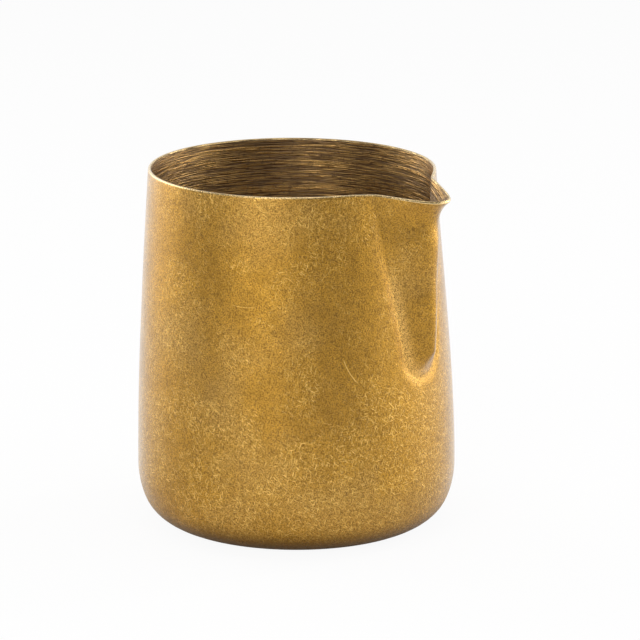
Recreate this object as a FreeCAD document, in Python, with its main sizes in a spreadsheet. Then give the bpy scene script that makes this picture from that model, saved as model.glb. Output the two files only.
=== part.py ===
"""Handle-less milk jug, one piece of 0.8 mm brass sheet: a spun cup whose wall is pressed into a spout.

Frame: millimetres, +Z up, origin in the middle of the underside, spout towards +X.
The floor and the corner are a revolved sketch. The wall above them is a skin over its own formula:
the spun wall, the pull of the mouth away from the spout, the V-shaped press mark of the spout with
the sunk border round it, and the lip bent out at its top.
"""
import FreeCAD
import Part
import math
import os
import Sketcher
from FreeCAD import Vector

SIZES = [
    # alias, value, what it is
    ("height", 90.0, "underside to the top of the rim"),
    ("body_diameter", 80.0, "widest outside diameter, just above the corner"),
    ("mouth_diameter", 75.3, "outside diameter of the mouth as spun, before pressing"),
    ("sheet_thickness", 0.8, "brass sheet"),
    ("floor_corner_radius", 10.4, "outside radius where the corner leaves the floor"),
    ("wall_corner_radius", 22.3, "outside radius where the corner runs into the wall"),
    ("corner_turn", 68.9, "degrees from the floor to where the one radius passes into the other"),
    ("mouth_pull", 1.3, "how far the spout drags the mouth circle away from itself"),
    ("mouth_shrink", 1.8, "what the mouth circle loses in radius to the spout"),
    ("spout_depth", 47.5, "rim to the toe of the press mark"),
    ("toe_radius", 6.8, "radius of the rounded toe of the press mark, in the wall"),
    ("spout_half_angle", 10.8, "degrees from the vertical to each side of the press mark"),
    ("flank_slope", 0.76, "rise of the flanks per millimetre from the side of the mark, at the toe"),
    ("lip_slope", 0.44, "the same at the lip, where the spout stands out most"),
    ("crest_rounding", 2.2, "half width of the rounding of the crest, at the toe"),
    ("lip_rounding", 6.0, "the same at the lip, where the crest opens out"),
    ("valley_rounding", 1.2, "half width of the rounding along the foot of the flanks"),
    ("border_depth", 1.0, "how deep the wall is sunk round the press mark"),
    ("border_width", 3.2, "half width of the step down into the sunk border"),
    ("border_fade_start", 25.0, "depth below the rim where the sunk border is still whole"),
    ("border_fade_end", 11.0, "depth below the rim where the sunk border has gone"),
    ("lip_flare", 4.5, "how far the lip is bent out at the tip"),
    ("lip_height", 9.0, "length of the bent lip down the crest"),
    ("lip_half_width", 9.1, "half width of the bent lip along the rim"),
    ("lip_droop", 3.0, "how much lower the rim is at the tip"),
    ("droop_half_width", 11.7, "half width of the low stretch of the rim"),
]

# The skin over the wall: points round it, rows up it, and the steps its slopes are measured with.
SECTION_POINTS = 96
CREST_CROWDING = 0.8
WALL_ROWS = 44
RIM_ROWS = 9
ANGLE_STEP = 0.001
HEIGHT_STEP = 0.01
SEW_TOLERANCE = 1e-4


def make_sheet(doc):
    sheet = doc.addObject("Spreadsheet::Sheet", "Sizes")
    for row, (alias, value, meaning) in enumerate(SIZES, start=1):
        sheet.set(f"A{row}", meaning)
        sheet.set(f"B{row}", str(value))
        sheet.setAlias(f"B{row}", alias)
    doc.recompute()
    return sheet


def smooth_step(share):
    """0 below 0, 1 above 1, level at both ends."""
    share = min(max(share, 0.0), 1.0)
    return share * share * (3.0 - 2.0 * share)


def rounded_size(distance, rounding):
    """The distance without its sign, smoothly rounded within the half width of the rounding."""
    share = distance / rounding
    if abs(share) >= 1.0:
        return abs(distance)
    return rounding * (3.0 + 6.0 * share ** 2 - share ** 4) / 8.0


def rounded_ramp(distance, rounding):
    """0 on the negative side, distance on the positive side, smoothly rounded between them."""
    return 0.5 * (distance + rounded_size(distance, rounding))


class Wall:
    """The outside of the wall above the corner, as a radius over the angle from the spout and height."""

    def __init__(self, sheet):
        self.size = {alias: float(sheet.get(alias)) for alias, _, _ in SIZES}
        size = self.size
        self.body_radius = size["body_diameter"] / 2.0
        self.mouth_radius = size["mouth_diameter"] / 2.0
        small = size["floor_corner_radius"]
        large = size["wall_corner_radius"]
        self.corner_turn = math.radians(size["corner_turn"])
        self.foot_radius = self.body_radius - large + (large - small) * math.sin(self.corner_turn)
        self.corner_top = small * (1.0 - math.cos(self.corner_turn)) + large * math.cos(self.corner_turn)
        self.toe_centre = size["height"] - size["spout_depth"] + size["toe_radius"]

    def spun_radius(self, height):
        """One flat arc, upright on the corner and through the mouth as spun."""
        rise = self.size["height"] - self.corner_top
        inset = self.body_radius - self.mouth_radius
        bulge = 2.0 * inset / (rise * rise + inset * inset)
        along = height - self.corner_top
        return self.body_radius - bulge * along * along / (1.0 + math.sqrt(1.0 - (bulge * along) ** 2))

    def across(self, angle):
        """Distance from the middle of the spout round the widest circle."""
        return self.body_radius * math.remainder(angle, 2.0 * math.pi)

    def towards_lip(self, height, at_toe, at_lip):
        """A size of the press mark that grows faster and faster from its toe up to the lip."""
        share = max(0.0, (height - self.toe_centre) / (self.size["height"] - self.toe_centre))
        return at_toe + (at_lip - at_toe) * share * share

    def side_distance(self, across, height):
        """Distance inside the round-toed V of the press mark, in the unrolled wall."""
        size = self.size
        half_angle = math.radians(size["spout_half_angle"])
        above = height - self.toe_centre
        rounding = self.towards_lip(height, size["crest_rounding"], size["lip_rounding"])
        across = rounded_size(across, rounding)
        if above * math.cos(half_angle) + across * math.sin(half_angle) < 0.0:
            return size["toe_radius"] - math.hypot(across, above)
        return size["toe_radius"] + above * math.sin(half_angle) - across * math.cos(half_angle)

    def rim_height(self, angle):
        """Height where the straight wall ends and the rounded edge starts."""
        size = self.size
        share = self.across(angle) / size["droop_half_width"]
        droop = size["lip_droop"] * math.exp(-share ** 2)
        return size["height"] - size["sheet_thickness"] / 2.0 - droop

    def radius(self, angle, height):
        size = self.size
        depth = size["height"] - height
        pull = smooth_step(1.0 - depth / (size["height"] - self.corner_top))
        across = self.across(angle)
        inside = self.side_distance(across, height)
        slope = self.towards_lip(height, size["flank_slope"], size["lip_slope"])
        fade_length = size["border_fade_start"] - size["border_fade_end"]
        border = smooth_step((depth - size["border_fade_end"]) / fade_length)
        step = smooth_step(0.5 + inside / (2.0 * size["border_width"]))
        bend = max(0.0, 1.0 - (self.rim_height(angle) - height) / size["lip_height"])
        lip = bend ** 3 * math.exp(-(across / size["lip_half_width"]) ** 2)
        return (self.spun_radius(height)
                - pull * (size["mouth_shrink"] + size["mouth_pull"] * math.cos(angle))
                + slope * rounded_ramp(inside, size["valley_rounding"])
                - size["border_depth"] * border * step
                + size["lip_flare"] * lip)

    def frame_at(self, angle, height):
        """Point on the outside, outward normal, and the upward direction in the wall."""
        radius = self.radius(angle, height)
        turn = self.radius(angle + ANGLE_STEP, height) - self.radius(angle - ANGLE_STEP, height)
        turn /= 2.0 * ANGLE_STEP
        lean = self.radius(angle, height + HEIGHT_STEP) - self.radius(angle, height - HEIGHT_STEP)
        lean /= 2.0 * HEIGHT_STEP
        outward = Vector(math.cos(angle), math.sin(angle), 0.0)
        sideways = Vector(-math.sin(angle), math.cos(angle), 0.0)
        normal = outward * radius - sideways * turn - Vector(0, 0, radius * lean)
        normal.normalize()
        upward = outward * lean + Vector(0, 0, 1)
        upward.normalize()
        return outward * radius + Vector(0, 0, height), normal, upward


def section_angles():
    """Angles round the jug, crowded together at the crest of the spout, and their parameters."""
    params = [2.0 * math.pi * index / SECTION_POINTS for index in range(SECTION_POINTS + 1)]
    return [param - CREST_CROWDING * math.sin(param) for param in params], params


def skin(rows, params):
    """Closed smooth surface through rows of points, each row a ring round the jug."""
    rings = []
    for row in rows:
        ring = Part.BSplineCurve()
        ring.interpolate(Points=row, PeriodicFlag=True, Parameters=params)
        rings.append(ring)
    columns = []
    heights = [float(index) for index in range(len(rows))]
    for index in range(rings[0].NbPoles):
        column = Part.BSplineCurve()
        column.interpolate(Points=[ring.getPole(index + 1) for ring in rings], Parameters=heights)
        columns.append(column)
    surface = Part.BSplineSurface()
    surface.buildFromPolesMultsKnots(
        [column.getPoles() for column in columns],
        rings[0].getMultiplicities(), columns[0].getMultiplicities(),
        rings[0].getKnots(), columns[0].getKnots(),
        True, False, rings[0].Degree, columns[0].Degree)
    return surface.toShape()


def wall_faces(wall):
    """Outside of the wall, rounded edge of the rim, and inside of the wall."""
    angles, params = section_angles()
    angles = angles[:-1]
    thickness = wall.size["sheet_thickness"]
    outside = []
    inside = []
    for row in range(WALL_ROWS + 1):
        share = math.sin(0.5 * math.pi * row / WALL_ROWS)
        frames = [wall.frame_at(angle, wall.corner_top + share * (wall.rim_height(angle) - wall.corner_top))
                  for angle in angles]
        outside.append([point for point, normal, upward in frames])
        inside.append([point - normal * thickness for point, normal, upward in frames])
    edge = []
    for row in range(RIM_ROWS + 1):
        turn = math.pi * row / RIM_ROWS
        ring = []
        for point, normal, upward in frames:
            middle = point - normal * (thickness / 2.0)
            ring.append(middle + (normal * math.cos(turn) + upward * math.sin(turn)) * (thickness / 2.0))
        edge.append(ring)
    edge[0] = outside[-1]
    edge[-1] = inside[-1]
    return [skin(rows, params) for rows in (outside, edge, inside)]


def origin_plane(body, role):
    return next(feature for feature in body.Origin.OriginFeatures if feature.Role == role)


def make_floor(doc, sheet, wall):
    """Floor and corner of the cup: half its section as a sketch, revolved."""
    body = doc.addObject("PartDesign::Body", "FloorAndCorner")
    sketch = body.newObject("Sketcher::SketchObject", "FloorSection")
    sketch.AttachmentSupport = [(origin_plane(body, "XZ_Plane"), "")]
    sketch.MapMode = "FlatFace"

    small = wall.size["floor_corner_radius"]
    large = wall.size["wall_corner_radius"]
    sheet_thickness = wall.size["sheet_thickness"]
    small_centre = Vector(wall.foot_radius, small, 0)
    large_centre = Vector(wall.body_radius - large, wall.corner_top, 0)
    turn = wall.corner_turn
    axis = Vector(0, 0, 1)

    def arc(centre, radius, start, end):
        return Part.ArcOfCircle(Part.Circle(centre, axis, radius), start, end)

    def line(start, end):
        return Part.LineSegment(Vector(*start, 0), Vector(*end, 0))

    floor_start = -math.pi / 2.0
    join = floor_start + turn
    outer_floor = sketch.addGeometry(line((0, 0), (wall.foot_radius, 0)))
    outer_small = sketch.addGeometry(arc(small_centre, small, floor_start, join))
    outer_large = sketch.addGeometry(arc(large_centre, large, join, 0.0))
    step = sketch.addGeometry(line((wall.body_radius, wall.corner_top),
                                   (wall.body_radius - sheet_thickness, wall.corner_top)))
    inner_large = sketch.addGeometry(arc(large_centre, large - sheet_thickness, join, 0.0))
    inner_small = sketch.addGeometry(arc(small_centre, small - sheet_thickness, floor_start, join))
    inner_floor = sketch.addGeometry(line((wall.foot_radius, sheet_thickness), (0, sheet_thickness)))
    middle = sketch.addGeometry(line((0, sheet_thickness), (0, 0)))

    foot_radius = "Sizes.body_diameter / 2 - Sizes.wall_corner_radius" \
        " + (Sizes.wall_corner_radius - Sizes.floor_corner_radius) * sin(Sizes.corner_turn)"
    start, end, centre = 1, 2, 3
    origin = -1
    for constraint in [
        ("Coincident", outer_floor, start, origin, start),
        ("Horizontal", outer_floor),
        ("Tangent", outer_floor, end, outer_small, start),
        ("Tangent", outer_small, end, outer_large, start),
        ("Horizontal", outer_large, end, outer_large, centre),
        ("Coincident", outer_large, end, step, start),
        ("Horizontal", step),
        ("Coincident", step, end, inner_large, end),
        ("Coincident", inner_large, centre, outer_large, centre),
        ("Coincident", inner_small, centre, outer_small, centre),
        ("Tangent", inner_small, end, inner_large, start),
        ("Tangent", inner_floor, start, inner_small, start),
        ("Horizontal", inner_floor),
        ("Coincident", inner_floor, end, middle, start),
        ("Coincident", middle, end, outer_floor, start),
        ("Vertical", middle),
    ]:
        sketch.addConstraint(Sketcher.Constraint(*constraint))
    for name, bound, value, constraint in [
        ("foot_radius", foot_radius, wall.foot_radius,
         ("DistanceX", outer_floor, start, outer_floor, end)),
        ("body_radius", "Sizes.body_diameter / 2", wall.body_radius,
         ("DistanceX", outer_floor, start, outer_large, end)),
        ("small_radius", "Sizes.floor_corner_radius", small, ("Radius", outer_small)),
        ("large_radius", "Sizes.wall_corner_radius", large, ("Radius", outer_large)),
        ("thickness", "Sizes.sheet_thickness", sheet_thickness, ("DistanceX", step, end, step, start)),
    ]:
        index = sketch.addConstraint(Sketcher.Constraint(*constraint, value))
        sketch.renameConstraint(index, name)
        sketch.setExpression(f"Constraints.{name}", bound)

    revolution = body.newObject("PartDesign::Revolution", "FloorRevolution")
    revolution.Profile = sketch
    revolution.ReferenceAxis = (sketch, ["V_Axis"])
    revolution.Angle = 360.0
    sketch.Visibility = False
    doc.recompute()
    return body


def make_jug(doc, floor, wall):
    """One closed skin: the revolved floor without its cut edge, and the pressed wall."""
    def is_cut_edge(face):
        box = face.BoundBox
        return box.ZLength < SEW_TOLERANCE and abs(box.ZMin - wall.corner_top) < SEW_TOLERANCE

    floor_skin = Part.makeCompound([face for face in floor.Shape.Faces if not is_cut_edge(face)])
    wall_skin = Part.makeCompound(wall_faces(wall))
    joined, _ = floor_skin.generalFuse([wall_skin], SEW_TOLERANCE)
    solid = Part.Solid(Part.Shell(joined.Faces))
    if solid.Volume < 0:
        solid.reverse()
    jug = doc.addObject("Part::Feature", "JugBody")
    jug.Label = "jug_body"
    jug.Shape = solid
    jug.Placement = FreeCAD.Placement()
    return jug


def check(doc, nodes):
    for thing in doc.Objects:
        if "Invalid" in thing.State or "Error" in thing.State:
            raise RuntimeError(f"{thing.Name} failed: {thing.State}")
    for node in nodes:
        if node.Shape.isNull() or not node.Shape.isValid() or len(node.Shape.Solids) != 1:
            raise RuntimeError(f"{node.Label} is not one valid solid")


def main():
    doc = FreeCAD.newDocument("MilkJug")
    sheet = make_sheet(doc)
    wall = Wall(sheet)
    floor = make_floor(doc, sheet, wall)
    jug = make_jug(doc, floor, wall)
    doc.recompute()
    check(doc, [jug])
    os.makedirs("parts", exist_ok=True)
    jug.Shape.exportStep(f"parts/{jug.Label}.step")
    print(f"{jug.Label}: {jug.Shape.Volume:.1f} mm3")


main()
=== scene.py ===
"""Looks of the aged brass milk jug: one pressed and spun sheet, modelled again as a fine mesh.

The shape follows the same rules as the CAD part: the spun wall, the pull of the mouth away from the
spout, the V-shaped press mark with its sunk border, and the lip bent out at its top. On top of it come
the turned lines of the inside, the slight unevenness of a hand-finished wall, and the brass itself.
The jug's sizes are in millimetres, with the spout towards +X; the mesh, the camera, the floor and the
lamps are in metres.
"""
import math
import random
from types import SimpleNamespace

import bpy
import numpy as np
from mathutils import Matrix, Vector


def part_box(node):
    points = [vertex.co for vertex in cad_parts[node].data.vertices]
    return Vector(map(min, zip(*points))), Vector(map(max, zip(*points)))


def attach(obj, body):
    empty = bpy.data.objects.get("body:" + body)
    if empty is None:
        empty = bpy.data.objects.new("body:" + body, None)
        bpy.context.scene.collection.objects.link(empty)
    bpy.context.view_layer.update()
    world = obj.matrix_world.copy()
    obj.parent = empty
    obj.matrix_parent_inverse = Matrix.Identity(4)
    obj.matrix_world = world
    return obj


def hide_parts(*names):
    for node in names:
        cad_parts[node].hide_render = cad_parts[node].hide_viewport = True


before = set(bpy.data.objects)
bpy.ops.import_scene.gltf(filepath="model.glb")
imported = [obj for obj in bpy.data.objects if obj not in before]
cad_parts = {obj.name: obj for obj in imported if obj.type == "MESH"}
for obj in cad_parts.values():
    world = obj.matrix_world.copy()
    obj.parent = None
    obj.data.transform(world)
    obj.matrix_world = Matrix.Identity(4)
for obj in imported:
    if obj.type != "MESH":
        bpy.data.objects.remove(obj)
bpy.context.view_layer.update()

MM = 0.001
low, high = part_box("jug_body")
HEIGHT = round((high[2] - low[2]) / MM, 1)
BODY_RADIUS = round(high[1] / MM, 1)
MOUTH_RADIUS = 37.65
THICKNESS = 0.8
FLOOR_CORNER = 10.4
WALL_CORNER = 22.3
CORNER_TURN = math.radians(68.9)
MOUTH_PULL = 1.3
MOUTH_SHRINK = 1.8
SPOUT_DEPTH = 47.5
TOE_RADIUS = 6.8
SPOUT_HALF_ANGLE = math.radians(10.8)
FLANK_SLOPE = 0.76
LIP_SLOPE = 0.44
CREST_ROUNDING = 2.2
LIP_ROUNDING = 6.0
VALLEY_ROUNDING = 1.2
BORDER_DEPTH = 1.0
BORDER_WIDTH = 3.2
BORDER_FADE_START = 25.0
BORDER_FADE_END = 11.0
LIP_FLARE = 4.5
LIP_HEIGHT = 9.0
LIP_HALF_WIDTH = 9.1
LIP_DROOP = 3.0
DROOP_HALF_WIDTH = 11.7

FOOT_RADIUS = BODY_RADIUS - WALL_CORNER + (WALL_CORNER - FLOOR_CORNER) * math.sin(CORNER_TURN)
CORNER_TOP = FLOOR_CORNER * (1 - math.cos(CORNER_TURN)) + WALL_CORNER * math.cos(CORNER_TURN)
TOE_CENTRE = HEIGHT - SPOUT_DEPTH + TOE_RADIUS

CAMERA_AZIMUTH = math.radians(35.95)
CAMERA_ELEVATION = math.radians(14.59)
CAMERA_DISTANCE = 1.0
CAMERA_LENS = 223.9
CAMERA_SHIFT = (0.0369, 0.035)
BACKWARD = (-math.sin(CAMERA_AZIMUTH), math.cos(CAMERA_AZIMUTH), 0)
FRONT_WORLD = 0.38
DIFFUSE_WORLD = 0.5
LAMP_DISTANCE = 0.7
ANGLE_STEP = 0.001
HEIGHT_STEP = 0.01
COLUMNS = 256
CREST_CROWDING = 0.78
OUTSIDE_ROWS = 120
ROW_CROWDING = 0.9
INSIDE_ROWS = 200
RIM_ROWS = 8
LINED_RIM_ROWS = 2
CORNER_ROWS = 10
FLOOR_RINGS = 8
SMALLEST_RING = 0.2
# Where the painted highlight runs along the side of the press mark; the metal is also smoother there.
PAINTED_HIGHLIGHT_MIDDLE = 0.8
PAINTED_HIGHLIGHT_WIDTH = 1.4
PAINTED_HIGHLIGHT_TOP = 74.0
PAINTED_HIGHLIGHT_FADE = 10.0
SCRATCHES = 14
SCRATCH_SEED = 7
FIBRE_DIRECTIONS = 5
FIBRE_SEED = 8
DENTS = 7
DENT_SEED = 11
DENT_TURNS = (2, 9)
DENT_PERIOD = (18, 70)
DENT_DEPTH = 0.008
GROOVES = 9
GROOVE_SEED = 5
GROOVE_TURNS = (0, 0)
GROOVE_PERIOD = (1.5, 3.2)
GROOVE_DEPTH = 0.0045
LAYER_SPACING = 0.1
FIBRE_STRETCH = (550, 4800, 100)
LINE_STRETCH = (25, 25, 1900)
FINE_LINE_STRETCH = (140, 140, 4400)
CLOUD_SCALE = 38
WEAR_SCALE = 95
BLOTCH_SCALE = 230
SPECKLE_SCALE = 1000
GRAIN_SCALE = 3300
RELIEF_DEPTH = 0.06 * MM
MAIN_SCRATCH_PLACE = (math.radians(-34.5), 46.8)
MAIN_SCRATCH_BULGE = (0.48, 0.72, 0.5)
MAIN_SCRATCH_SIZES = (14 * MM, 3.9 * MM, 0.2 * MM)
PATINA_DEEP = (0.50, 0.262, 0.033, 1)
PATINA_THIN = (0.68, 0.360, 0.047, 1)
PATINA_DULL = (0.56, 0.335, 0.095, 1)
# Dark colour of the patina specks, also used for the painted shade at the foot.
DARK_PATINA_AND_SHADE = (0.19, 0.095, 0.018, 1)
BARE_BRASS = (0.99, 0.625, 0.165, 1)
# Paler, more orange brass of the painted highlight along the press mark.
PAINTED_HIGHLIGHT_BRASS = (1.0, 0.58, 0.15, 1)
EDGE_BRASS = (0.86, 0.63, 0.30, 1)
LINING_DARK = (0.25, 0.155, 0.076, 1)
LINING_LIGHT = (0.71, 0.420, 0.135, 1)
LINING_SPECK = (0.18, 0.115, 0.066, 1)
FLOOR_COLOUR = (0.9, 0.9, 0.9, 1)
FLOOR_WHITE_SEEN = 0.93
FLOOR_WHITE_REFLECTED = 0.95
FLOOR_HALF = 3.0
FLOOR_DROP = 0.0002


def smooth_step(share):
    share = np.clip(share, 0.0, 1.0)
    return share * share * (3 - 2 * share)


def rounded_size(distance, rounding):
    """The distance without its sign, smoothly rounded within the half width of the rounding."""
    share = np.clip(distance / rounding, -1, 1)
    inside = rounding * (3 + 6 * share ** 2 - share ** 4) / 8
    return np.where(np.abs(distance) >= rounding, np.abs(distance), inside)


def rounded_ramp(distance, rounding):
    """0 on the negative side, distance on the positive side, smoothly rounded between them."""
    return (distance + rounded_size(distance, rounding)) / 2


def spun_radius(height):
    rise = HEIGHT - CORNER_TOP
    inset = BODY_RADIUS - MOUTH_RADIUS
    bulge = 2 * inset / (rise ** 2 + inset ** 2)
    along = height - CORNER_TOP
    return BODY_RADIUS - bulge * along ** 2 / (1 + np.sqrt(1 - (bulge * along) ** 2))


def across(angle):
    """Distance from the middle of the spout round the widest circle."""
    return BODY_RADIUS * (np.mod(angle + math.pi, 2 * math.pi) - math.pi)


def towards_lip(height, at_toe, at_lip):
    """A size of the press mark that grows faster and faster from its toe up to the lip."""
    share = np.maximum(0.0, (height - TOE_CENTRE) / (HEIGHT - TOE_CENTRE))
    return at_toe + (at_lip - at_toe) * share ** 2


def side_distance(sideways, height):
    """Distance inside the round-toed V of the press mark, in the unrolled wall."""
    above = height - TOE_CENTRE
    sideways = rounded_size(sideways, towards_lip(height, CREST_ROUNDING, LIP_ROUNDING))
    side = TOE_RADIUS + above * math.sin(SPOUT_HALF_ANGLE) - sideways * math.cos(SPOUT_HALF_ANGLE)
    toe = TOE_RADIUS - np.hypot(sideways, above)
    below = above * math.cos(SPOUT_HALF_ANGLE) + sideways * math.sin(SPOUT_HALF_ANGLE) < 0
    return np.where(below, toe, side)


def rim_height(angle):
    return HEIGHT - THICKNESS / 2 - LIP_DROOP * np.exp(-(across(angle) / DROOP_HALF_WIDTH) ** 2)


def wall_radius(angle, height):
    """Outside radius of the wall above the corner."""
    depth = HEIGHT - height
    pull = smooth_step(1 - depth / (HEIGHT - CORNER_TOP))
    inside = side_distance(across(angle), height)
    border = smooth_step((depth - BORDER_FADE_END) / (BORDER_FADE_START - BORDER_FADE_END))
    step = smooth_step(0.5 + inside / (2 * BORDER_WIDTH))
    bend = np.maximum(0.0, 1 - (rim_height(angle) - height) / LIP_HEIGHT)
    lip = bend ** 3 * np.exp(-(across(angle) / LIP_HALF_WIDTH) ** 2)
    return (spun_radius(height) - pull * (MOUTH_SHRINK + MOUTH_PULL * np.cos(angle))
            + towards_lip(height, FLANK_SLOPE, LIP_SLOPE) * rounded_ramp(inside, VALLEY_ROUNDING)
            - BORDER_DEPTH * border * step + LIP_FLARE * lip)


def wall_frame(angle, height):
    """Points on the outside, outward normals and upward directions, as arrays of vectors."""
    radius = wall_radius(angle, height)
    turn = (wall_radius(angle + ANGLE_STEP, height) - wall_radius(angle - ANGLE_STEP, height)) \
        / (2 * ANGLE_STEP)
    lean = (wall_radius(angle, height + HEIGHT_STEP) - wall_radius(angle, height - HEIGHT_STEP)) \
        / (2 * HEIGHT_STEP)
    outward = np.stack([np.cos(angle), np.sin(angle), 0 * angle], axis=-1)
    sideways = np.stack([-np.sin(angle), np.cos(angle), 0 * angle], axis=-1)
    up = np.zeros_like(outward)
    up[..., 2] = 1
    normal = outward * radius[..., None] - sideways * turn[..., None] - up * (radius * lean)[..., None]
    normal /= np.linalg.norm(normal, axis=-1, keepdims=True)
    upward = outward * lean[..., None] + up
    upward /= np.linalg.norm(upward, axis=-1, keepdims=True)
    return outward * radius[..., None] + up * height[..., None], normal, upward


def waves(seed, count, turns, period, depth):
    """A few seeded ripples: how often each goes round, its length up the wall, its phase and its depth."""
    random.seed(seed)
    return [(random.randint(*turns), 2 * math.pi / random.uniform(*period), random.uniform(0, 2 * math.pi),
             random.uniform(0.5, 1.0) * depth) for _ in range(count)]


def ripple(found, angle, height):
    """The ripples added up, and shifted so that they never stand proud."""
    total = 0 * angle
    for around, rise, phase, depth in found:
        total = total + depth * (1 + np.sin(around * angle + rise * height + phase))
    return total


def corner_profile(offset):
    """Radius and height along the corner from the floor up to the wall, offset inwards by a distance."""
    turns = np.linspace(0, CORNER_TURN, CORNER_ROWS + 1)
    small = [(FOOT_RADIUS + (FLOOR_CORNER - offset) * math.sin(t),
              FLOOR_CORNER - (FLOOR_CORNER - offset) * math.cos(t)) for t in turns]
    turns = np.linspace(CORNER_TURN, math.pi / 2, CORNER_ROWS + 1)[1:]
    large = [(BODY_RADIUS - WALL_CORNER + (WALL_CORNER - offset) * math.sin(t),
              CORNER_TOP - (WALL_CORNER - offset) * math.cos(t)) for t in turns]
    return small + large


def jug_rings(angles):
    """All rings of the mesh, from the middle of the underside over the rim to the middle of the floor.

    With them go four values for the material: 1 on the lining, 1 on the rim's edge, the distance
    travelled along the sheet in metres, and the share of painted highlight along the side of the press mark.
    """
    def flat_ring(radius, height):
        return np.stack([radius * np.cos(angles), radius * np.sin(angles), 0 * angles + height], axis=-1)

    floor_radii = np.linspace(SMALLEST_RING, FOOT_RADIUS, FLOOR_RINGS + 1)[:-1]
    rings = [flat_ring(radius, 0.0) for radius in floor_radii]
    rings += [flat_ring(*point) for point in corner_profile(0.0)[:-1]]
    rim = rim_height(angles)
    outward = flat_ring(1.0, 0.0)
    dents = waves(DENT_SEED, DENTS, DENT_TURNS, DENT_PERIOD, DENT_DEPTH)
    grooves = waves(GROOVE_SEED, GROOVES, GROOVE_TURNS, GROOVE_PERIOD, GROOVE_DEPTH)

    def wall_ring(share):
        point, normal, upward = wall_frame(angles, CORNER_TOP + share * (rim - CORNER_TOP))
        inward = ripple(dents, angles, point[:, 2]) * math.sin(math.pi * min(share, 0.5))
        return point - outward * inward[:, None], normal, upward

    for share in np.linspace(0, 1, OUTSIDE_ROWS + 1) ** ROW_CROWDING:
        point, normal, upward = wall_ring(share)
        rings.append(point)
    rim_start = len(rings)
    for turn in np.linspace(0, math.pi, RIM_ROWS + 1)[1:-1]:
        middle = point - normal * THICKNESS / 2
        rings.append(middle + (normal * math.cos(turn) + upward * math.sin(turn)) * THICKNESS / 2)
    inside_start = len(rings)
    for share in np.linspace(1, 0, INSIDE_ROWS + 1):
        point, normal, upward = wall_ring(share)
        groove = ripple(grooves, angles, point[:, 2]) * math.sin(math.pi * share)
        rings.append(point - normal * (THICKNESS - groove[:, None]))
    rings += [flat_ring(*point) for point in corner_profile(THICKNESS)[-2::-1]]
    rings += [flat_ring(radius, THICKNESS) for radius in floor_radii[::-1]]
    lining = [float(index >= inside_start - LINED_RIM_ROWS) for index in range(len(rings))]
    edge = [float(rim_start <= index < inside_start) for index in range(len(rings))]
    rings = np.array(rings)
    steps = np.linalg.norm(np.diff(rings[:, COLUMNS // 2], axis=0), axis=1)
    travel = [0.0] + (np.cumsum(steps) * MM).tolist()
    inside = side_distance(across(angles), rings[..., 2])
    # A painted highlight along the side of the press mark, fading out towards its top.
    burnish = np.exp(-((inside - PAINTED_HIGHLIGHT_MIDDLE) / PAINTED_HIGHLIGHT_WIDTH) ** 2) \
        * smooth_step((PAINTED_HIGHLIGHT_TOP - rings[..., 2]) / PAINTED_HIGHLIGHT_FADE)
    return rings, {"lining": lining, "edge": edge, "travel": travel, "burnish": burnish}


def make_jug():
    steps = np.linspace(0, 2 * math.pi, COLUMNS, endpoint=False)
    angles = steps - CREST_CROWDING * np.sin(steps)
    rings, stored = jug_rings(angles)
    count = len(rings)
    points = [(0.0, 0.0, 0.0)] + (rings.reshape(-1, 3)).tolist() + [(0.0, 0.0, THICKNESS)]
    points = [(x * MM, y * MM, z * MM) for x, y, z in points]

    def at(ring, column):
        return 1 + ring * COLUMNS + column % COLUMNS

    faces = []
    for column in range(COLUMNS):
        faces.append((0, at(0, column + 1), at(0, column)))
        for ring in range(count - 1):
            faces.append((at(ring, column), at(ring, column + 1),
                          at(ring + 1, column + 1), at(ring + 1, column)))
        faces.append((len(points) - 1, at(count - 1, column), at(count - 1, column + 1)))
    mesh = bpy.data.meshes.new("jug")
    mesh.from_pydata(points, [], faces)
    mesh.shade_smooth()
    for name, values in stored.items():
        attribute = mesh.attributes.new(name, "FLOAT", "POINT")
        grid = np.broadcast_to(np.reshape(values, (count, -1)), (count, COLUMNS))
        attribute.data.foreach_set("value", np.concatenate([grid[0, :1], grid.ravel(), grid[-1, :1]]))
    jug = bpy.data.objects.new("jug", mesh)
    bpy.context.scene.collection.objects.link(jug)
    return jug


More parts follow.
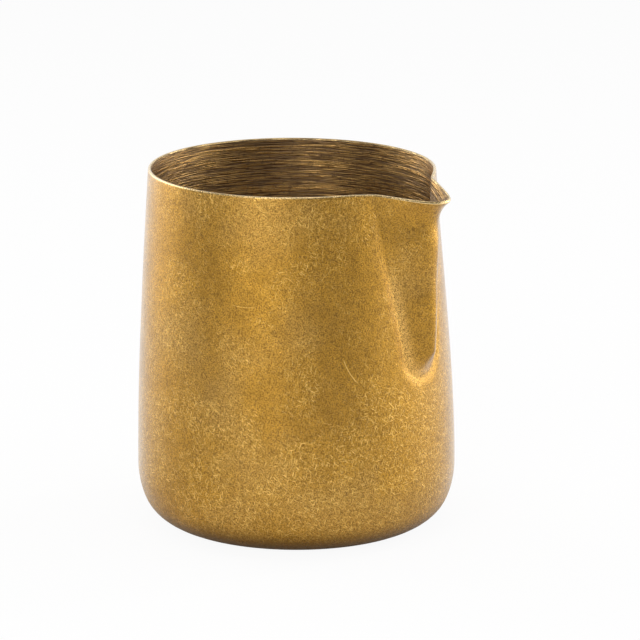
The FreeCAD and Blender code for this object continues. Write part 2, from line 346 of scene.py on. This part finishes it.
class Nodes:
    """Short ways to put a material's nodes together; each returns an output socket."""

    def __init__(self, tree):
        self.tree = tree
        self.place = self.node("TexCoord").outputs["Object"]

    def node(self, kind, **settings):
        node = self.tree.nodes.new("ShaderNode" + kind)
        for name, value in settings.items():
            setattr(node, name, value)
        return node

    def feed(self, socket, value):
        if isinstance(value, bpy.types.NodeSocket):
            self.tree.links.new(value, socket)
        else:
            socket.default_value = value

    def math(self, operation, *values):
        node = self.node("Math", operation=operation)
        for socket, value in zip(node.inputs, values):
            self.feed(socket, value)
        return node.outputs[0]

    def stretched(self, scale, turn=(0, 0, 0), place=None):
        """The place turned, then stretched."""
        node = self.node("Mapping", vector_type="TEXTURE")
        self.feed(node.inputs["Vector"], place or self.place)
        node.inputs["Rotation"].default_value = turn
        node.inputs["Scale"].default_value = [1 / part for part in scale]
        return node.outputs[0]

    def noise(self, scale, detail=2.0, rough=0.5, twist=0.0, place=None):
        node = self.node("TexNoise")
        self.feed(node.inputs["Vector"], place or self.place)
        node.inputs["Scale"].default_value = scale
        node.inputs["Detail"].default_value = detail
        node.inputs["Roughness"].default_value = rough
        node.inputs["Distortion"].default_value = twist
        return node.outputs[0]

    def span(self, value, low, high, to_low=0.0, to_high=1.0):
        node = self.node("MapRange", interpolation_type="SMOOTHSTEP")
        for socket, number in zip(node.inputs, (value, low, high, to_low, to_high)):
            self.feed(socket, number)
        return node.outputs[0]

    def line(self, value, middle, half_width):
        """1 where the value is the middle one, falling to 0 within the half width."""
        away = self.math("ABSOLUTE", self.math("SUBTRACT", value, middle))
        return self.span(away, 0.0, half_width, 1.0, 0.0)

    def colour(self, share, low, high):
        node = self.node("Mix", data_type="RGBA")
        self.feed(node.inputs[0], share)
        self.feed(node.inputs[6], low)
        self.feed(node.inputs[7], high)
        return node.outputs[2]

    def blend(self, share, low, high):
        node = self.node("Mix", data_type="FLOAT")
        self.feed(node.inputs[0], share)
        self.feed(node.inputs[2], low)
        self.feed(node.inputs[3], high)
        return node.outputs[0]

    def stored(self, name):
        return self.node("Attribute", attribute_name=name).outputs["Fac"]

    def separated(self, place):
        node = self.node("SeparateXYZ")
        self.feed(node.inputs[0], place)
        return node.outputs

    def vector(self, *parts):
        node = self.node("CombineXYZ")
        for socket, value in zip(node.inputs, parts):
            self.feed(socket, value)
        return node.outputs[0]

    def along(self, direction):
        node = self.node("VectorMath", operation="DOT_PRODUCT")
        self.feed(node.inputs[0], self.place)
        node.inputs[1].default_value = direction
        return node.outputs["Value"]

    def distance(self, point):
        node = self.node("VectorMath", operation="DISTANCE")
        self.feed(node.inputs[0], self.place)
        node.inputs[1].default_value = point
        return node.outputs["Value"]


def arc_scratch(nodes, middle, bulge, radius, reach, half_width):
    """A bowed scratch: where a ball round a point near the wall cuts it, close to the scratch's middle."""
    centre = Vector(middle) + Vector(bulge).normalized() * radius
    on_arc = nodes.line(nodes.distance(centre), radius, half_width)
    near = nodes.span(nodes.distance(middle), 0.7 * reach, reach, 1.0, 0.0)
    return nodes.math("MULTIPLY", on_arc, near)


def wall_point(turn, height):
    """A point on the outside of the wall, in metres."""
    radius = float(wall_radius(np.array([turn]), np.array([height]))[0])
    return Vector((radius * math.cos(turn), radius * math.sin(turn), height)) * MM


def scratches(nodes):
    """The few scratches long enough to be seen one by one, most of them faint."""
    random.seed(SCRATCH_SEED)
    found = arc_scratch(nodes, wall_point(*MAIN_SCRATCH_PLACE), MAIN_SCRATCH_BULGE, *MAIN_SCRATCH_SIZES)
    for _ in range(SCRATCHES):
        turn = random.uniform(0, 2 * math.pi)
        middle = wall_point(turn, random.uniform(14, 84))
        lean = random.uniform(0, 2 * math.pi)
        bulge = (-math.sin(turn) * math.cos(lean), math.cos(turn) * math.cos(lean), math.sin(lean))
        scratch = arc_scratch(nodes, middle, bulge, random.uniform(8, 40) * MM,
                              random.uniform(1.5, 5.0) * MM, random.uniform(0.07, 0.11) * MM)
        found = nodes.math("MAXIMUM", found, nodes.math("MULTIPLY", scratch, random.uniform(0.3, 0.8)))
    return found


def random_fibres(nodes, fields):
    """Fine short scuffs that cross the unrolled wall in every direction, none on the underside."""
    random.seed(FIBRE_SEED)
    round_wall = nodes.math("ARCTAN2", fields.y, fields.x)
    round_wall = nodes.math("MULTIPLY", round_wall, BODY_RADIUS * MM)
    found = None
    for layer in range(FIBRE_DIRECTIONS):
        turn = (0, 0, math.pi * (layer + random.uniform(0, 1)) / FIBRE_DIRECTIONS)
        flat = nodes.vector(round_wall, fields.travel, LAYER_SPACING * layer)
        field = nodes.noise(1.0, 0.0, 0.5, 0.6, place=nodes.stretched(FIBRE_STRETCH, turn, flat))
        fibres = nodes.span(field, 0.70, 0.80)
        found = fibres if found is None else nodes.math("MAXIMUM", found, fibres)
    return nodes.math("MULTIPLY", found, nodes.span(fields.height, 0.5 * MM, 3 * MM))


def surface_fields(nodes):
    """Everything that varies over the sheet: what the mesh stores, and the patterns made from it."""
    fields = SimpleNamespace()
    fields.x, fields.y, fields.height = nodes.separated(nodes.place)
    fields.lining = nodes.stored("lining")
    fields.edge = nodes.stored("edge")
    fields.burnish = nodes.stored("burnish")
    fields.travel = nodes.stored("travel")

    fields.clouds = nodes.noise(CLOUD_SCALE, 3.0, 0.55)
    fields.blotches = nodes.noise(BLOTCH_SCALE, 3.0, 0.6, 0.3)
    fields.speckle = nodes.noise(SPECKLE_SCALE, 2.0, 0.6)
    fields.grain = nodes.noise(GRAIN_SCALE, 1.0, 0.7)
    mixed = nodes.math("ADD", nodes.math("MULTIPLY", fields.clouds, 0.45),
                       nodes.math("MULTIPLY", fields.blotches, 0.55))
    fields.patina = nodes.span(mixed, 0.30, 0.70)

    handling = nodes.span(fields.height, 8 * MM, 60 * MM, 0.15, -0.06)
    fields.worn = nodes.span(nodes.math("ADD", nodes.noise(WEAR_SCALE, 2.0, 0.6), handling), 0.36, 0.66)
    marks = nodes.math("MULTIPLY", random_fibres(nodes, fields), nodes.blend(fields.worn, 0.1, 1.0))
    fields.marks = nodes.math("MAXIMUM", marks, scratches(nodes))

    sheet = nodes.vector(fields.x, fields.y, fields.travel)
    lines = nodes.noise(1.0, 2.0, 0.6, place=nodes.stretched(LINE_STRETCH, place=sheet))
    fine_lines = nodes.noise(1.0, 1.0, 0.6, place=nodes.stretched(FINE_LINE_STRETCH, place=sheet))
    fields.turned = nodes.math("ADD", nodes.math("MULTIPLY", lines, 0.45),
                               nodes.math("MULTIPLY", fine_lines, 0.55))
    return fields


def outside_colour(nodes, fields):
    """Clouded patina with dark specks, a painted highlight along the press mark, bare where it is scratched,
    and painted shade at the foot.
    """
    colour = nodes.colour(fields.patina, PATINA_DEEP, PATINA_THIN)
    colour = nodes.colour(nodes.span(fields.clouds, 0.46, 0.66, 0.0, 0.5), colour, PATINA_DULL)
    # Painted highlight: paler brass along the side of the press mark.
    colour = nodes.colour(nodes.math("MULTIPLY", fields.burnish, 0.9), colour, PAINTED_HIGHLIGHT_BRASS)
    colour = nodes.colour(nodes.span(fields.grain, 0.32, 0.60, 0.8, 0.0), colour, DARK_PATINA_AND_SHADE)
    colour = nodes.colour(nodes.span(fields.speckle, 0.26, 0.44, 0.60, 0.0), colour, DARK_PATINA_AND_SHADE)
    bright_grain = nodes.span(fields.grain, 0.58, 0.80)
    glints = nodes.math("MULTIPLY", bright_grain, nodes.blend(fields.worn, 0.15, 0.55))
    colour = nodes.colour(nodes.math("MAXIMUM", fields.marks, glints), colour, BARE_BRASS)
    # Painted shade: the outside darkens towards the floor, from 8.5 mm down to 1.5 mm.
    foot = nodes.span(fields.height, 1.5 * MM, 8.5 * MM, 0.8, 0.0)
    return nodes.colour(foot, colour, DARK_PATINA_AND_SHADE)


def inside_colour(nodes, fields):
    """Dull turned lines with dark specks."""
    colour = nodes.colour(nodes.span(fields.turned, 0.42, 0.60), LINING_DARK, LINING_LIGHT)
    return nodes.colour(nodes.span(fields.speckle, 0.30, 0.48, 0.6, 0.0), colour, LINING_SPECK)


def surface_roughness(nodes, fields):
    roughness = nodes.blend(fields.patina, 0.36, 0.29)
    roughness = nodes.math("ADD", roughness, nodes.span(fields.speckle, 0.3, 0.7, 0.05, -0.05))
    # The band of the painted highlight is also smoother metal.
    roughness = nodes.blend(fields.burnish, roughness, 0.25)
    roughness = nodes.blend(fields.lining, roughness, nodes.span(fields.turned, 0.4, 0.62, 0.34, 0.27))
    return nodes.blend(fields.edge, roughness, 0.16)


def surface_gloss(nodes, fields):
    """The thin wax of a handled outside, strongest at grazing angles, none on the foot or the lining."""
    facing = nodes.node("LayerWeight").outputs["Facing"]
    coat = nodes.span(facing, 0.5, 0.85, 0.25, 0.7)
    coat = nodes.math("MULTIPLY", coat, nodes.span(fields.height, 2 * MM, 14 * MM))
    return nodes.blend(fields.lining, coat, 0.0)


def surface_relief(nodes, fields):
    """The fine unevenness of both sides, in shares of the relief depth."""
    def total(*shares):
        height = nodes.math("MULTIPLY", *shares[0])
        for share in shares[1:]:
            height = nodes.math("ADD", height, nodes.math("MULTIPLY", *share))
        return height

    outer = total((fields.grain, 1.5), (fields.marks, -0.3), (fields.speckle, 0.8), (fields.blotches, 0.8))
    inner = total((fields.turned, 15.0), (fields.grain, 0.5), (fields.speckle, 0.4))
    bump = nodes.node("Bump")
    bump.inputs["Strength"].default_value = 1.0
    bump.inputs["Distance"].default_value = RELIEF_DEPTH
    nodes.feed(bump.inputs["Height"], nodes.blend(fields.lining, outer, inner))
    return bump.outputs[0]


def brass_material():
    """Aged brass: bare metal under patina, handled and scratched outside, turned lines inside."""
    material = bpy.data.materials.new("aged_brass")
    material.use_nodes = True
    shader = material.node_tree.nodes["Principled BSDF"]
    nodes = Nodes(material.node_tree)
    fields = surface_fields(nodes)

    base = nodes.colour(fields.lining, outside_colour(nodes, fields), inside_colour(nodes, fields))
    nodes.feed(shader.inputs["Base Color"], nodes.colour(fields.edge, base, EDGE_BRASS))
    nodes.feed(shader.inputs["Metallic"], nodes.blend(fields.lining, 1.0, 0.9))
    nodes.feed(shader.inputs["Anisotropic"], nodes.math("MULTIPLY", fields.lining, 0.95))
    shader.inputs["Anisotropic Rotation"].default_value = 0.25
    nodes.feed(shader.inputs["Tangent"], nodes.node("Tangent", direction_type="RADIAL", axis="Z").outputs[0])
    nodes.feed(shader.inputs["Roughness"], surface_roughness(nodes, fields))
    nodes.feed(shader.inputs["Coat Weight"], surface_gloss(nodes, fields))
    shader.inputs["Coat Roughness"].default_value = 0.15
    nodes.feed(shader.inputs["Normal"], surface_relief(nodes, fields))
    return material


def area_lamp(name, place, aim, size, power):
    data = bpy.data.lights.new(name, "AREA")
    data.shape = "RECTANGLE"
    data.size, data.size_y = size
    data.energy = power
    lamp = bpy.data.objects.new(name, data)
    lamp.location = place
    lamp.rotation_euler = (Vector(aim) - Vector(place)).to_track_quat("-Z", "Y").to_euler()
    bpy.context.scene.collection.objects.link(lamp)


def make_camera():
    """Looks at the middle of the jug from 1 m, with the spout pointing right and towards the camera."""
    target = Vector((0, 0, HEIGHT / 2 * MM))
    towards = Vector((math.sin(CAMERA_AZIMUTH) * math.cos(CAMERA_ELEVATION),
                      -math.cos(CAMERA_AZIMUTH) * math.cos(CAMERA_ELEVATION), math.sin(CAMERA_ELEVATION)))
    data = bpy.data.cameras.new("camera")
    data.lens = CAMERA_LENS
    data.shift_x, data.shift_y = CAMERA_SHIFT
    camera = bpy.data.objects.new("camera", data)
    camera.location = target + towards * CAMERA_DISTANCE
    camera.rotation_euler = (-towards).to_track_quat("-Z", "Y").to_euler()
    bpy.context.scene.collection.objects.link(camera)
    bpy.context.scene.camera = camera


def make_stage():
    """A pale floor with the jug's shadow: nearly white to the camera, and in the metal behind the jug."""
    mesh = bpy.data.meshes.new("floor")
    half = FLOOR_HALF
    mesh.from_pydata([(-half, -half, 0), (half, -half, 0), (half, half, 0), (-half, half, 0)], [],
                     [(0, 1, 2, 3)])
    floor = bpy.data.objects.new("floor", mesh)
    bpy.context.scene.collection.objects.link(floor)
    floor.location.z = -FLOOR_DROP
    material = bpy.data.materials.new("floor")
    material.use_nodes = True
    nodes = Nodes(material.node_tree)
    shader = material.node_tree.nodes["Principled BSDF"]
    shader.inputs["Base Color"].default_value = FLOOR_COLOUR
    shader.inputs["Roughness"].default_value = 0.9
    white = nodes.node("Emission").outputs[0]
    mixed = nodes.node("MixShader")
    path = nodes.node("LightPath")
    behind = nodes.span(nodes.along(BACKWARD), -0.02, 0.12, 0.0, FLOOR_WHITE_REFLECTED)
    share = nodes.math("MULTIPLY", path.outputs["Is Glossy Ray"], behind)
    seen = nodes.math("MULTIPLY", path.outputs["Is Camera Ray"], FLOOR_WHITE_SEEN)
    share = nodes.math("MAXIMUM", share, seen)
    nodes.feed(mixed.inputs[0], share)
    nodes.feed(mixed.inputs[1], shader.outputs[0])
    nodes.feed(mixed.inputs[2], white)
    nodes.feed(material.node_tree.nodes["Material Output"].inputs["Surface"], mixed.outputs[0])
    mesh.materials.append(material)


def make_world():
    """White for the camera; in the metal white behind the jug and darker towards the camera's side."""
    world = bpy.data.worlds.new("studio")
    world.use_nodes = True
    nodes = Nodes(world.node_tree)
    background = world.node_tree.nodes["Background"]
    background.inputs["Color"].default_value = (1, 1, 1, 1)
    path = nodes.node("LightPath")
    nodes.place = nodes.node("TexCoord").outputs["Generated"]
    upward = nodes.along((0, 0, 1))
    front = nodes.span(upward, 0.0, 0.3, FRONT_WORLD, 0.4 * FRONT_WORLD)
    reflected = nodes.span(nodes.along(BACKWARD), -0.1, 0.6, front, nodes.span(upward, 0.3, 0.8, 1.0, 0.4))
    strength = nodes.blend(path.outputs["Is Glossy Ray"], DIFFUSE_WORLD, reflected)
    strength = nodes.blend(path.outputs["Is Camera Ray"], strength, 1.0)
    nodes.feed(background.inputs["Strength"], strength)
    bpy.context.scene.world = world


def make_lamps():
    """Boxes round the jug, each at its turn from the camera and its lift off the floor, and one above."""
    for name, azimuth, lift, size, power in [
        ("left_box", -24, 0.12, (0.48, 0.5), 1.9),
        ("right_box", 98, 0.0, (0.95, 0.7), 3.0),
        ("right_strip", 116, 0.0, (0.06, 0.7), 1.0),
        ("left_far", -122, 0.0, (0.6, 0.7), 2.4),
    ]:
        turn = CAMERA_AZIMUTH + math.radians(azimuth)
        middle = lift + size[1] / 2
        place = (LAMP_DISTANCE * math.sin(turn), -LAMP_DISTANCE * math.cos(turn), middle)
        area_lamp(name, place, (0, 0, middle), size, power)
    area_lamp("top_box", (0, 0, 0.5), (0, 0, 0), (0.3, 0.3), 0.4)


make_camera()
make_stage()
make_world()
make_lamps()
jug = make_jug()
jug.data.materials.append(brass_material())
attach(jug, "root")
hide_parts("jug_body")
bpy.context.scene.view_settings.view_transform = "Standard"
